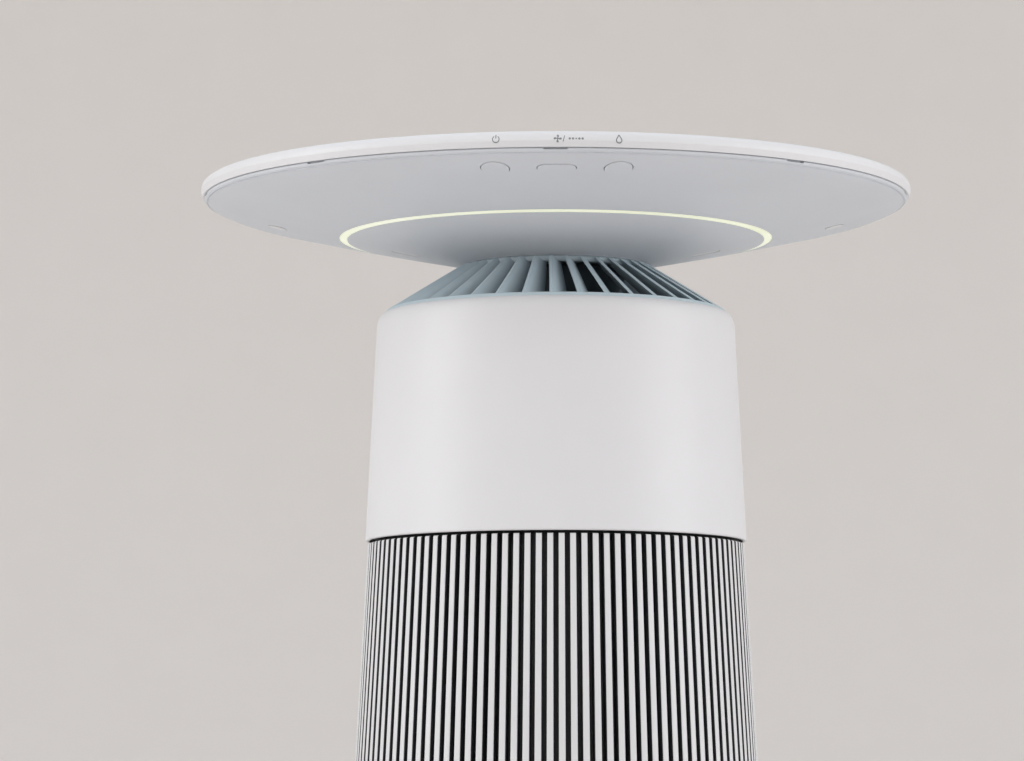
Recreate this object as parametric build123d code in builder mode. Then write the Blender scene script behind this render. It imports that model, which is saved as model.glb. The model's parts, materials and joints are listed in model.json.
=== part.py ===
from build123d import *
from math import cos, radians, sin
import os

# A side-table air purifier. Millimetres, +Z up, origin at the centre of the base, where the feet stand.
# The buttons face the front, -Y.

# ---- Driving dimensions ----

TOTAL_HEIGHT = 670.0
DISC_RADIUS = 250.0            # round table top

# Table top and the bowl under it
TOP_PLATE = 3.2
RIM_BOTTOM = 658.6
RIM_WALL = 2.4
BOWL_WALL = 2.4
BOSS_MEETING = 650.0           # where the screw bosses of top and bowl meet
BOWL_CURVE = [(62.5, 612.3), (150.0, 630.6), (209.0, 644.0), (234.0, 650.6), (244.5, 654.9)]
NECK_TOP = 612.3               # where the disc sits on the neck
COVER_RADIUS = 197.5           # screw covers near the rim
COVER_ANGLES = [3.5, 64.0, 116.0, 176.5]
COVER_LENGTH = 18.0            # along the rim
COVER_WIDTH = 11.6
COVER_NOTCH = 3.4              # how much shorter than its seat each cover is
INNER_COVER_X = 106.0          # clip-in covers beside the neck
INNER_COVER_Y = 3.0
INNER_COVER_LENGTH = 19.0
INNER_COVER_WIDTH = 9.0
SEAM_SLOTS = 9                 # pry slots in the seam under the rim

# Light ring, let into the bowl
RING_INNER = 147.2
RING_OUTER = 152.4
RING_GAP = 0.2
RING_SUNK = 0.25               # how far its face lies above the bowl's

# Buttons, in the bowl's front
BUTTON_PITCH = 40.5
BUTTON_ROUND = 9.2             # radius of the two round ones
BUTTON_LENGTH = 25.2           # of the long one
BUTTON_WIDTH = 10.8
BUTTON_GAP = 0.6
BUTTON_PROUD = 0.5
BUTTON_TRAVEL = 1.0

# Tapered body
BODY_TOP_RADIUS = 126.3        # white shell, below its shoulder
SHELL_BOTTOM = 417.3
SHELL_BOTTOM_RADIUS = 133.5
SHELL_WALL = 2.6
SHOULDER = 562.0               # where the shell starts to turn in
LIP_RADIUS = 121.0             # top edge of the shell, round the outlet
LIP_HEIGHT = 577.2
SLAT_TOP = 415.4
SLAT_TOP_RADIUS = 131.7
SLAT_BOTTOM = 33.4
TAPER = 0.057                  # growth of the radius for each millimetre down
SLAT_COUNT = 108
SLAT_GAP = 3.15
SLAT_DEPTH = 8.0               # rib and its white face together
FACE_DEPTH = 1.6               # white face alone
HOOP_DEPTH = 3.0
REAR_SLATS = 42                # slats on the removable rear cover
BASE_TOP = 33.0
BASE_BOTTOM = 4.0
BASE_WALL = 3.0

# Air outlet
VANE_COUNT = 39
VANE_THICKNESS = 2.4
VANE_FOOT = 579.0
VANE_HEAD = 611.0
OUTLET_FOOT_RADIUS = 119.0
OUTLET_HEAD_RADIUS = 67.2

# Fan
DUCT_RADIUS = 108.0
DUCT_WALL = 2.4
IMPELLER_RADIUS = 99.0
IMPELLER_BLADES = 11
SHAFT_RADIUS = 4.0
BEARING_CLEARANCE = 0.05

# Filter
FILTER_RADIUS = 92.0
FILTER_BORE = 59.0
FILTER_BOTTOM = 58.0
FILTER_TOP = 404.0
PLEATS = 72

# Inner frame
DECK_TOP = 54.0
SKIRT_RADIUS = 136.0           # skirt of the filter deck, screwed to the base
POST_RADIUS = 110.0
POST_ANGLES = [15.0, 165.0, 235.0, 305.0]
FAN_DECK = 408.0

FRONT = -90.0                  # angle of the front, seen from above
PITCH = 360.0 / SLAT_COUNT


# ---- Helpers ----

def body_radius(height):
    """Outer radius of the slatted body at a height."""
    return SLAT_TOP_RADIUS + TAPER * (SLAT_TOP - height)


def polar(radius, angle):
    """Point at a radius and an angle in degrees."""
    return (radius * cos(radians(angle)), radius * sin(radians(angle)))


def upright_plane(angle):
    """Vertical plane through the axis: its x runs outward at the angle, its y runs up."""
    out = (cos(radians(angle)), sin(radians(angle)), 0)
    side = (sin(radians(angle)), -cos(radians(angle)), 0)
    return Plane(origin=(0, 0, 0), x_dir=out, z_dir=side)


def turned(*outline, start=0.0, arc=360.0, mode=Mode.ADD):
    """Turn a closed outline of (radius, height) points about the vertical axis."""
    with BuildSketch(upright_plane(start)) as face:
        with BuildLine():
            Polyline(*outline, close=True)
        make_face()
    revolve(face.sketch, axis=Axis.Z, revolution_arc=arc, mode=mode)


def tube(inner, outer, bottom, top, mode=Mode.ADD):
    """Plain ring about the vertical axis."""
    turned((inner, bottom), (outer, bottom), (outer, top), (inner, top), mode=mode)


def bowl_layer(low, high, mode=Mode.ADD):
    """Layer that follows the bowl, from low to high above its lower face."""
    below = [(radius, height + low) for radius, height in BOWL_CURVE]
    above = [(radius, height + high) for radius, height in BOWL_CURVE]
    with BuildSketch(Plane.XZ) as face:
        with BuildLine():
            Spline(*below)
            Line(below[-1], above[-1])
            Spline(*above)
            Line(above[0], below[0])
        make_face()
    revolve(face.sketch, axis=Axis.Z, mode=mode)


def bowl_plug(outline, low, high):
    """Piece of a bowl layer inside a flat outline."""
    with BuildPart() as plug:
        with BuildSketch(Plane.XY.offset(NECK_TOP)):
            add(outline)
        extrude(amount=TOTAL_HEIGHT - NECK_TOP)
        bowl_layer(low, high, mode=Mode.INTERSECT)
    return plug.part


def save(piece, name):
    """Label a finished piece and write it."""
    piece.part.label = name
    export_step(piece.part, f"parts/{name}.step")
    print(name)


os.makedirs("parts", exist_ok=True)

# ---- Table top ----

with BuildPart() as table_top:
    edge = DISC_RADIUS
    with BuildSketch(Plane.XZ):
        with BuildLine():
            Line((0, TOTAL_HEIGHT), (edge - 10, TOTAL_HEIGHT))
            Bezier(
                (edge - 10, TOTAL_HEIGHT),
                (edge - 3, TOTAL_HEIGHT),
                (edge, TOTAL_HEIGHT - 2.6),
                (edge, TOTAL_HEIGHT - 7.5),
            )
            Line((edge, TOTAL_HEIGHT - 7.5), (edge - 1.4, RIM_BOTTOM))
            Line((edge - 1.4, RIM_BOTTOM), (edge - 1.4 - RIM_WALL, RIM_BOTTOM))
            Line((edge - 1.4 - RIM_WALL, RIM_BOTTOM), (edge - 3.4, TOTAL_HEIGHT - 6))
            Line((edge - 3.4, TOTAL_HEIGHT - 6), (edge - 11, TOTAL_HEIGHT - TOP_PLATE))
            Line((edge - 11, TOTAL_HEIGHT - TOP_PLATE), (0, TOTAL_HEIGHT - TOP_PLATE))
            Line((0, TOTAL_HEIGHT - TOP_PLATE), (0, TOTAL_HEIGHT))
        make_face()
    revolve(axis=Axis.Z)
    # stiffening ribs under the plate
    with BuildSketch(Plane.XY.offset(TOTAL_HEIGHT - TOP_PLATE)):
        with PolarLocations(125, 12, start_angle=15):
            Rectangle(130, 1.8)
        for rib_radius in (60, 125, 190):
            with BuildSketch(mode=Mode.ADD):
                Circle(rib_radius + 0.9)
                Circle(rib_radius - 0.9, mode=Mode.SUBTRACT)
    extrude(amount=-2.8)
    # screw bosses
    with BuildSketch(Plane.XY.offset(TOTAL_HEIGHT - TOP_PLATE)):
        with Locations(*[polar(COVER_RADIUS, angle) for angle in COVER_ANGLES]):
            Circle(5.5)
    extrude(amount=BOSS_MEETING - TOTAL_HEIGHT + TOP_PLATE)
    with BuildSketch(Plane.XY.offset(BOSS_MEETING)):
        with Locations(*[polar(COVER_RADIUS, angle) for angle in COVER_ANGLES]):
            Circle(1.7)
    extrude(amount=13, mode=Mode.SUBTRACT)
save(table_top, "table_top")

# ---- Bowl under the table ----

button_spots = [(-BUTTON_PITCH + 0.9, -223.0), (0.7, -225.8), (BUTTON_PITCH + 0.7, -223.0)]
inner_cover_spots = [(-INNER_COVER_X, INNER_COVER_Y), (INNER_COVER_X, INNER_COVER_Y)]

with BuildSketch() as button_holes:
    with Locations(button_spots[0], button_spots[2]):
        Circle(BUTTON_ROUND + BUTTON_GAP)
    with Locations(button_spots[1]):
        SlotOverall(BUTTON_LENGTH + 2 * BUTTON_GAP, BUTTON_WIDTH + 2 * BUTTON_GAP)


def screw_cover_outline(length, width):
    """Flat outline of the four screw covers near the rim."""
    with BuildSketch() as outline:
        for angle in COVER_ANGLES:
            with Locations(polar(COVER_RADIUS, angle)):
                SlotOverall(length, width, rotation=angle + 90)
    return outline.sketch


def cover_outline(grow=0.0):
    """Flat outline of the two clip-in covers beside the neck."""
    with BuildSketch() as outline:
        with Locations(*inner_cover_spots):
            SlotOverall(INNER_COVER_LENGTH + 2 * grow, INNER_COVER_WIDTH + 2 * grow)
    return outline.sketch


with BuildPart() as table_underside:
    bowl_layer(0, BOWL_WALL)
    # flat hub that sits on the neck
    tube(24, 64, NECK_TOP, NECK_TOP + 3)
    # channel for the light ring
    turned((144.8, 630.7), (154.8, 632.8), (154.8, 645), (144.8, 645))
    tube(RING_INNER - RING_GAP, RING_OUTER + RING_GAP, 600, 642.6, mode=Mode.SUBTRACT)
    # rounded lip and the spigot inside the rim
    turned(
        (243.2, 654.6),
        (245.6, 655.5),
        (247.0, 656.5),
        (247.5, 657.7),
        (247.0, 658.35),
        (245.4, 658.35),
        (245.4, 663),
        (243.2, 663),
    )
    # screw bosses with a deep seat for the head and its cover
    add(bowl_plug(screw_cover_outline(COVER_LENGTH + 4, COVER_WIDTH + 4), 1.0, 12.0))
    with BuildSketch(Plane.XY.offset(BOSS_MEETING)):
        add(screw_cover_outline(COVER_LENGTH + 8, COVER_WIDTH + 8))
    extrude(amount=8, mode=Mode.SUBTRACT)
    with BuildSketch(Plane.XY.offset(630)):
        add(screw_cover_outline(COVER_LENGTH + 0.7, COVER_WIDTH + 0.7))
    extrude(amount=17.5, mode=Mode.SUBTRACT)
    with BuildSketch(Plane.XY.offset(640)):
        with Locations(*[polar(COVER_RADIUS, angle) for angle in COVER_ANGLES]):
            Circle(2.2)
    extrude(amount=12, mode=Mode.SUBTRACT)
    # shadow line round the lip
    turned((245.1, 654.8), (245.8, 655.2), (245.7, 656.1), (245.2, 655.9), mode=Mode.SUBTRACT)
    # button holes
    with BuildSketch(Plane.XY.offset(630)):
        add(button_holes.sketch)
    extrude(amount=30, mode=Mode.SUBTRACT)
    # holes for the clip-in covers
    with BuildSketch(Plane.XY.offset(610)):
        add(cover_outline(0.5))
    extrude(amount=20, mode=Mode.SUBTRACT)
    # pry slots in the seam under the rim
    with BuildSketch(Plane.XY.offset(657.1)):
        with PolarLocations(247.2, SEAM_SLOTS, start_angle=FRONT):
            Rectangle(5, 15.4)
    extrude(amount=1.4, mode=Mode.SUBTRACT)
    # screw holes in the hub
    with BuildSketch(Plane.XY.offset(NECK_TOP)):
        with PolarLocations(36, 6):
            Circle(2.2)
    extrude(amount=5, mode=Mode.SUBTRACT)
save(table_underside, "table_underside")

with BuildPart() as light_ring:
    bowl_layer(RING_SUNK, 3.5)
    tube(RING_INNER, RING_OUTER, 600, 645, mode=Mode.INTERSECT)
    tube(RING_INNER, RING_INNER + 1.2, 631.5, 638.5)
    tube(RING_OUTER - 1.2, RING_OUTER, 632.5, 638.5)
save(light_ring, "light_ring")

with BuildPart() as light_ring_board:
    tube(RING_INNER + 0.2, RING_OUTER - 0.2, 641, 642.6)
save(light_ring_board, "light_ring_board")

with BuildPart() as light_ring_leds:
    with BuildSketch(Plane.XY.offset(641)):
        with PolarLocations((RING_INNER + RING_OUTER) / 2, 60):
            Rectangle(2.8, 2.8)
    extrude(amount=-1.2)
save(light_ring_leds, "light_ring_leds")

# the outer ones leave a pry gap at each end
outer_covers = bowl_plug(screw_cover_outline(COVER_LENGTH - COVER_NOTCH, COVER_WIDTH), -0.3, 2.0)
inner_covers = bowl_plug(cover_outline(), 0.2, 3.4) + bowl_plug(cover_outline(1.5), 2.5, 3.4)

with BuildPart() as screw_covers:
    add(outer_covers)
    add(inner_covers)
save(screw_covers, "screw_covers")

with BuildPart() as table_screws:
    spots = [polar(COVER_RADIUS, angle) for angle in COVER_ANGLES]
    with BuildSketch(Plane.XY.offset(647.5)):
        with Locations(*spots):
            Circle(3.6)
    extrude(amount=-2)
    with BuildSketch(Plane.XY.offset(647.5)):
        with Locations(*spots):
            Circle(1.6)
    extrude(amount=14)
save(table_screws, "table_screws")


# ---- Buttons: a face that follows the bowl, a flange that keeps it in, and a stem to its switch ----

def button_parts(face, flange):
    """Face and flange of one button, from their flat outlines."""
    return bowl_plug(face, -BUTTON_PROUD, 3.7), bowl_plug(flange, 2.8, 3.7)


def button_outline(spot, round_face, grow):
    """Flat outline of one button, round or long."""
    with BuildSketch() as outline:
        with Locations(spot):
            if round_face:
                Circle(BUTTON_ROUND + grow)
            else:
                SlotOverall(BUTTON_LENGTH + 2 * grow, BUTTON_WIDTH + 2 * grow)
    return outline.sketch


STEM_TOP = 657.4
SWITCH_BOTTOM = STEM_TOP + BUTTON_TRAVEL + 0.2

face, flange = button_parts(
    button_outline(button_spots[0], True, 0), button_outline(button_spots[0], True, 1.6)
)
with BuildPart() as power_button:
    add(face)
    add(flange)
    with BuildSketch(Plane.XY.offset(650)):
        with Locations(button_spots[0]):
            Circle(2.5)
    extrude(amount=STEM_TOP - 650)
save(power_button, "power_button")

face, flange = button_parts(
    button_outline(button_spots[1], False, 0), button_outline(button_spots[1], False, 1.6)
)
with BuildPart() as fan_button:
    add(face)
    add(flange)
    with BuildSketch(Plane.XY.offset(651)):
        with Locations(button_spots[1]):
            Circle(2.5)
    extrude(amount=STEM_TOP - 651)
save(fan_button, "fan_button")

face, flange = button_parts(
    button_outline(button_spots[2], True, 0), button_outline(button_spots[2], True, 1.6)
)
with BuildPart() as light_button:
    add(face)
    add(flange)
    with BuildSketch(Plane.XY.offset(650)):
        with Locations(button_spots[2]):
            Circle(2.5)
    extrude(amount=STEM_TOP - 650)
save(light_button, "light_button")

BOARD_BOTTOM = 661.6

with BuildPart() as tact_switches:
    with BuildSketch(Plane.XY.offset(BOARD_BOTTOM)):
        with Locations(*button_spots):
            Rectangle(6, 6)
    extrude(amount=SWITCH_BOTTOM + 1.2 - BOARD_BOTTOM)
    with BuildSketch(Plane.XY.offset(SWITCH_BOTTOM)):
        with Locations(*button_spots):
            Circle(1.7)
    extrude(amount=1.2)
save(tact_switches, "tact_switches")

with BuildPart() as control_board:
    with BuildSketch(Plane.XY.offset(BOARD_BOTTOM)):
        with Locations((0, -208)):
            RectangleRounded(108, 50, 4)
    extrude(amount=1.6)
    # components on the lower face, towards the centre
    with BuildSketch(Plane.XY.offset(BOARD_BOTTOM)):
        with Locations((-26, -194), (18, -196)):
            Rectangle(14, 14)
        with Locations((42, -192)):
            Rectangle(12, 8)
    extrude(amount=-2.4)
save(control_board, "control_board")

# Cable from the neck to the control board
with BuildPart() as head_cable:
    with BuildLine() as cable_path:
        FilletPolyline((0, 0, 551), (0, 0, 655), (0, -180, 655), radius=16)
    with BuildSketch(Plane.XY.offset(551)):
        Circle(3)
    sweep(path=cable_path.wires()[0])
save(head_cable, "head_cable")

# ---- Neck that carries the disc ----

with BuildPart() as support_column:
    tube(22, 26, 545, NECK_TOP)
    tube(22, 38, 545, 549)
    tube(22, 46, 608.3, NECK_TOP)
    with BuildSketch(Plane.XY.offset(600)):
        with PolarLocations(36, 6):
            Circle(1.7)
    extrude(amount=20, mode=Mode.SUBTRACT)
    with BuildSketch(Plane.XY.offset(545)):
        with PolarLocations(32, 4, start_angle=45):
            Circle(2.2)
    extrude(amount=4, mode=Mode.SUBTRACT)
save(support_column, "support_column")

with BuildPart() as hub_screws:
    with BuildSketch(Plane.XY.offset(NECK_TOP + 3)):
        with PolarLocations(36, 6):
            Circle(3.6)
    extrude(amount=2.2)
    with BuildSketch(Plane.XY.offset(NECK_TOP + 3)):
        with PolarLocations(36, 6):
            Circle(1.6)
    extrude(amount=-10)
save(hub_screws, "hub_screws")

with BuildPart() as air_deflector:
    with BuildSketch(Plane.XZ):
        with BuildLine():
            Spline((48, 545), (41, 572), (51, 607))
            Line((51, 607), (48.8, 607))
            Spline((48.8, 607), (39, 572), (46, 545))
            Line((46, 545), (48, 545))
        make_face()
    revolve(axis=Axis.Z)
save(air_deflector, "air_deflector")


# ---- Air outlet: a cone of swept vanes between two rings ----

def vane_section(height, chord, turn):
    """Level cut through the front vane: a curved blade, its outer edge on the cone."""
    share = (height - VANE_FOOT) / (VANE_HEAD - VANE_FOOT)
    radius = OUTLET_FOOT_RADIUS + share * (OUTLET_HEAD_RADIUS - OUTLET_FOOT_RADIUS)
    half = VANE_THICKNESS / 2
    outer_angle = 38.0
    inner_angle = 12.0
    middle_angle = (outer_angle + inner_angle) / 2
    # the blade runs inward, towards the back, and leans to the right of the radius
    start_x, start_y = polar(radius, FRONT + turn)
    half_chord = chord / 2
    lean_out = radians((outer_angle + middle_angle) / 2)
    lean_in = radians((inner_angle + middle_angle) / 2)
    mid_x = start_x + half_chord * sin(lean_out)
    mid_y = start_y + half_chord * cos(lean_out)
    end_x = mid_x + half_chord * sin(lean_in)
    end_y = mid_y + half_chord * cos(lean_in)
    side = [
        (half * cos(radians(lean)), -half * sin(radians(lean)))
        for lean in (outer_angle, middle_angle, inner_angle)
    ]
    spine = [(start_x, start_y), (mid_x, mid_y), (end_x, end_y)]
    right = [(x + dx, y + dy) for (x, y), (dx, dy) in zip(spine, side)]
    left = [(x - dx, y - dy) for (x, y), (dx, dy) in zip(spine, side)]
    with BuildSketch(Plane.XY.offset(height)) as section:
        with BuildLine():
            ThreePointArc(*right)
            Line(right[-1], left[-1])
            ThreePointArc(*reversed(left))
            Line(left[0], right[0])
        make_face()
    return section.sketch


vane_cuts = [
    vane_section(VANE_FOOT, 24.0, -1.6),
    vane_section((VANE_FOOT + VANE_HEAD) / 2, 19.0, -2.1),
    vane_section(VANE_HEAD, 13.5, -3.3),
]
with BuildPart() as vane:
    loft(vane_cuts)

with BuildPart() as outlet_grille:
    # foot ring, seated on the duct under the shell's lip
    turned(
        (106, 573),
        (121.2, 573),
        (121.2, 574.6),
        (120.6, 574.8),
        (120.5, 577.3),
        (119.2, 579.3),
        (117.6, 579.9),
        (109, 579.9),
        (106, 577.5),
    )
    # collar, with a shadow gap below the bowl
    turned(
        (57, 607.4),
        (64.8, 607.4),
        (65.4, 608),
        (65.4, 610.5),
        (64.8, 611.1),
        (61.5, 611.1),
        (61.5, NECK_TOP),
        (57, NECK_TOP),
    )
    with PolarLocations(0, VANE_COUNT):
        add(vane.part)
save(outlet_grille, "outlet_grille")

# ---- White shell of the upper body ----

with BuildPart() as upper_shell:
    inner_top = BODY_TOP_RADIUS - SHELL_WALL
    inner_bottom = SHELL_BOTTOM_RADIUS - SHELL_WALL
    edge_round = 1.2
    with BuildSketch(Plane.XZ):
        with BuildLine():
            Line((SHELL_BOTTOM_RADIUS, SHELL_BOTTOM + edge_round), (BODY_TOP_RADIUS, SHOULDER))
            Bezier(
                (BODY_TOP_RADIUS, SHOULDER),
                (BODY_TOP_RADIUS - 0.2, SHOULDER + 9.5),
                (BODY_TOP_RADIUS - 1.4, LIP_HEIGHT - 1.6),
                (LIP_RADIUS, LIP_HEIGHT),
            )
            Line((LIP_RADIUS, LIP_HEIGHT), (LIP_RADIUS - 0.2, LIP_HEIGHT - 0.4))
            Line((LIP_RADIUS - 0.2, LIP_HEIGHT - 0.4), (LIP_RADIUS - 0.1, LIP_HEIGHT - 2.2))
            Bezier(
                (LIP_RADIUS - 0.1, LIP_HEIGHT - 2.2),
                (inner_top - 0.6, LIP_HEIGHT - 4.0),
                (inner_top, SHOULDER + 6),
                (inner_top, SHOULDER),
            )
            Line((inner_top, SHOULDER), (inner_bottom, SHELL_BOTTOM))
            Line((inner_bottom, SHELL_BOTTOM), (SHELL_BOTTOM_RADIUS - edge_round, SHELL_BOTTOM))
            ThreePointArc(
                (SHELL_BOTTOM_RADIUS - edge_round, SHELL_BOTTOM),
                (SHELL_BOTTOM_RADIUS - 0.3 * edge_round, SHELL_BOTTOM + 0.275 * edge_round),
                (SHELL_BOTTOM_RADIUS, SHELL_BOTTOM + edge_round),
            )
        make_face()
    revolve(axis=Axis.Z)
    # vent slots for the air sensor, at the back
    with BuildSketch(Plane.XZ.offset(-115)):
        with Locations((0, 490)):
            with GridLocations(5, 0, 7, 1):
                SlotOverall(22, 2.2, rotation=90)
    extrude(amount=-25, mode=Mode.SUBTRACT)
save(upper_shell, "upper_shell")

with BuildPart() as air_sensor:
    with BuildSketch(Plane.XZ.offset(-111)):
        with Locations((0, 490)):
            RectangleRounded(42, 34, 2)
    extrude(amount=-9)
    # sampling window
    with BuildSketch(Plane.XZ.offset(-120)):
        with Locations((0, 490)):
            Rectangle(26, 18)
    extrude(amount=2, mode=Mode.SUBTRACT)
save(air_sensor, "air_sensor")

# ---- Fan section ----

with BuildPart() as fan_deck:
    tube(84, 118.5, FAN_DECK, FAN_DECK + 4)
    tube(115.5, 118.5, FAN_DECK + 4, 420)
    tube(115.5, 129.6, 420, 423)
    with BuildSketch(Plane.XY.offset(FAN_DECK)):
        with Locations(*[polar(POST_RADIUS, angle) for angle in POST_ANGLES]):
            Circle(2.2)
    extrude(amount=4, mode=Mode.SUBTRACT)
save(fan_deck, "fan_deck")

with BuildPart() as fan_guard:
    guard_radii = (14, 31, 48, 65, 82.8)
    for ring_radius in guard_radii:
        tube(ring_radius - 1.2, ring_radius + 1.2, FAN_DECK + 1, FAN_DECK + 3)
    with BuildSketch(Plane.XY.offset(FAN_DECK + 1)):
        with PolarLocations(48.4, 12):
            Rectangle(68.8, 2)
    extrude(amount=2)
save(fan_guard, "fan_guard")

with BuildPart() as inlet_ring:
    with BuildSketch(Plane.XZ):
        with BuildLine():
            Line((95, 412), (95, 414.4))
            Line((95, 414.4), (86, 414.4))
            TangentArc((86, 414.4), (68.4, 432), tangent=(-1, 0))
            Line((68.4, 432), (68.4, 441))
            Line((68.4, 441), (66, 441))
            Line((66, 441), (66, 432))
            TangentArc((66, 432), (86, 412), tangent=(0, -1))
            Line((86, 412), (95, 412))
        make_face()
    revolve(axis=Axis.Z)
save(inlet_ring, "inlet_ring")

with BuildPart() as fan_duct:
    tube(DUCT_RADIUS, DUCT_RADIUS + DUCT_WALL, 423, 573)
    tube(DUCT_RADIUS, 126.5, 423, 425.5)
    tube(DUCT_RADIUS, 119.5, 560, 562.4)
    # stiffening webs between the two flanges
    with BuildSketch(Plane.XY.offset(425)):
        with PolarLocations(114, 12, start_angle=15):
            Rectangle(9, 2)
    extrude(amount=136)
save(fan_duct, "fan_duct")


def blade_outline(inner, outer, sweep_angle, thickness, count, start=0.0):
    """Curved blades in plan, from an inner radius to an outer one, leaning back by an angle."""
    with BuildSketch() as blades:
        for index in range(count):
            angle = start + index * 360.0 / count
            middle = (inner + outer) / 2
            spread = 57.3 * thickness / 2
            ends = [
                (inner, 0.0),
                (middle, sweep_angle * 0.62),
                (outer, sweep_angle),
            ]
            lead = [polar(radius, angle + turn + spread / radius) for radius, turn in ends]
            trail = [polar(radius, angle + turn - spread / radius) for radius, turn in ends]
            with BuildLine():
                ThreePointArc(*lead)
                Line(lead[-1], trail[-1])
                ThreePointArc(*reversed(trail))
                Line(trail[0], lead[0])
            make_face()
    return blades.sketch


impeller_blades = blade_outline(50, IMPELLER_RADIUS - 1, -48, 2.2, IMPELLER_BLADES)

with BuildPart() as fan_impeller:
    with BuildSketch(Plane.XY.offset(442)):
        add(impeller_blades)
    extrude(amount=47)
    # the blades end on the sloping shroud
    turned(
        (40, 430),
        (120, 430),
        (120, 458.5),
        (IMPELLER_RADIUS, 456),
        (70, 443),
        (40, 443),
        mode=Mode.SUBTRACT,
    )
    turned(
        (69.6, 437),
        (71.8, 437),
        (73, 442),
        (IMPELLER_RADIUS, 453.6),
        (IMPELLER_RADIUS, 456.2),
        (71.6, 444.4),
        (69.6, 441),
    )
    # backplate and hub
    turned(
        (SHAFT_RADIUS, 462),
        (12, 462),
        (14, 470),
        (30, 484),
        (50, 488),
        (IMPELLER_RADIUS, 488),
        (IMPELLER_RADIUS, 490.4),
        (49, 490.4),
        (29, 487),
        (12, 476),
        (SHAFT_RADIUS, 476),
    )
save(fan_impeller, "fan_impeller")

with BuildPart() as motor_shaft:
    with BuildSketch(Plane.XY.offset(459)):
        Circle(SHAFT_RADIUS)
    extrude(amount=79)
    chamfer(motor_shaft.edges().filter_by(GeomType.CIRCLE), 0.6)
save(motor_shaft, "motor_shaft")

with BuildPart() as motor_rotor:
    tube(SHAFT_RADIUS, 18, 509, 527)
save(motor_rotor, "motor_rotor")

with BuildPart() as motor_stator:
    tube(30, 36, 508, 528)
    with BuildSketch(Plane.XY.offset(508)):
        with PolarLocations(25.5, 12):
            Rectangle(10, 5)
            with Locations((-5.2, 0)):
                Rectangle(2, 8)
    extrude(amount=20)
save(motor_stator, "motor_stator")

with BuildPart() as motor_housing:
    tube(36, 38.4, 497, 541)
    tube(11, 36, 497, 499.4)
    tube(11, 13.4, 499.4, 506)
    tube(11, 36, 538.6, 541)
    tube(11, 13.4, 531, 538.6)
save(motor_housing, "motor_housing")

with BuildPart() as motor_bearings:
    tube(SHAFT_RADIUS + BEARING_CLEARANCE, 11, 499, 506)
    tube(SHAFT_RADIUS + BEARING_CLEARANCE, 11, 531, 538)
save(motor_bearings, "motor_bearings")

diffuser_vanes = blade_outline(47, DUCT_RADIUS, 26, 2.4, 13)

with BuildPart() as diffuser:
    tube(46, 48.4, 500, 545)
    tube(11, 48.4, 541, 545)
    with BuildSketch(Plane.XY.offset(503)):
        add(diffuser_vanes)
    extrude(amount=39)
    with BuildSketch(Plane.XY.offset(541)):
        with PolarLocations(32, 4, start_angle=45):
            Circle(1.7)
    extrude(amount=4, mode=Mode.SUBTRACT)
save(diffuser, "diffuser")

with BuildPart() as neck_screws:
    with BuildSketch(Plane.XY.offset(549)):
        with PolarLocations(32, 4, start_angle=45):
            Circle(3.4)
    extrude(amount=2)
    with BuildSketch(Plane.XY.offset(549)):
        with PolarLocations(32, 4, start_angle=45):
            Circle(1.6)
    extrude(amount=-8)
save(neck_screws, "neck_screws")

# ---- Inner frame ----

with BuildPart() as frame_posts:
    for angle in POST_ANGLES:
        post_plane = Plane(origin=(*polar(POST_RADIUS, angle), DECK_TOP), z_dir=(0, 0, 1))
        with BuildSketch(post_plane):
            RectangleRounded(10, 14, 1.5)
        extrude(amount=FAN_DECK - DECK_TOP)
        with BuildSketch(post_plane):
            Circle(1.7)
        extrude(amount=FAN_DECK - DECK_TOP, mode=Mode.SUBTRACT)
save(frame_posts, "frame_posts")

with BuildPart() as filter_deck:
    tube(20, 138, DECK_TOP - 4, DECK_TOP)
    tube(SKIRT_RADIUS - 2.2, SKIRT_RADIUS + 2.2, BASE_TOP, DECK_TOP - 4)
    # raised seat that the filter stands on
    tube(20, 90, DECK_TOP, DECK_TOP + 3.7)
    with BuildSketch(Plane.XY.offset(BASE_TOP)):
        with PolarLocations(SKIRT_RADIUS, 6, start_angle=30):
            Circle(1.7)
    extrude(amount=12, mode=Mode.SUBTRACT)
    with BuildSketch(Plane.XY.offset(DECK_TOP - 4)):
        with Locations(*[polar(POST_RADIUS, angle) for angle in POST_ANGLES]):
            Circle(2.2)
    extrude(amount=4, mode=Mode.SUBTRACT)
save(filter_deck, "filter_deck")

with BuildPart() as frame_screws:
    post_spots = [polar(POST_RADIUS, angle) for angle in POST_ANGLES]
    for seat, way in ((DECK_TOP - 4, 1), (FAN_DECK + 4, -1)):
        with BuildSketch(Plane.XY.offset(seat)):
            with Locations(*post_spots):
                Circle(3.6)
        extrude(amount=-2.2 * way)
        with BuildSketch(Plane.XY.offset(seat)):
            with Locations(*post_spots):
                Circle(1.6)
        extrude(amount=16 * way)
save(frame_screws, "frame_screws")

# ---- Filter cartridge ----

with BuildPart() as filter_bottom_cap:
    tube(0.0, FILTER_RADIUS + 1, FILTER_BOTTOM, FILTER_BOTTOM + 3)
    tube(FILTER_RADIUS - 0.2, FILTER_RADIUS + 1, FILTER_BOTTOM + 3, FILTER_BOTTOM + 9)
save(filter_bottom_cap, "filter_bottom_cap")

with BuildPart() as filter_top_cap:
    tube(FILTER_BORE - 3, FILTER_RADIUS + 1, FILTER_TOP - 3, FILTER_TOP)
    tube(FILTER_RADIUS - 0.2, FILTER_RADIUS + 1, FILTER_TOP - 9, FILTER_TOP - 3)
save(filter_top_cap, "filter_top_cap")

with BuildPart() as filter_seal:
    tube(FILTER_RADIUS - 8, FILTER_RADIUS - 2, FILTER_TOP, FILTER_TOP + 3.6)
save(filter_seal, "filter_seal")

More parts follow.
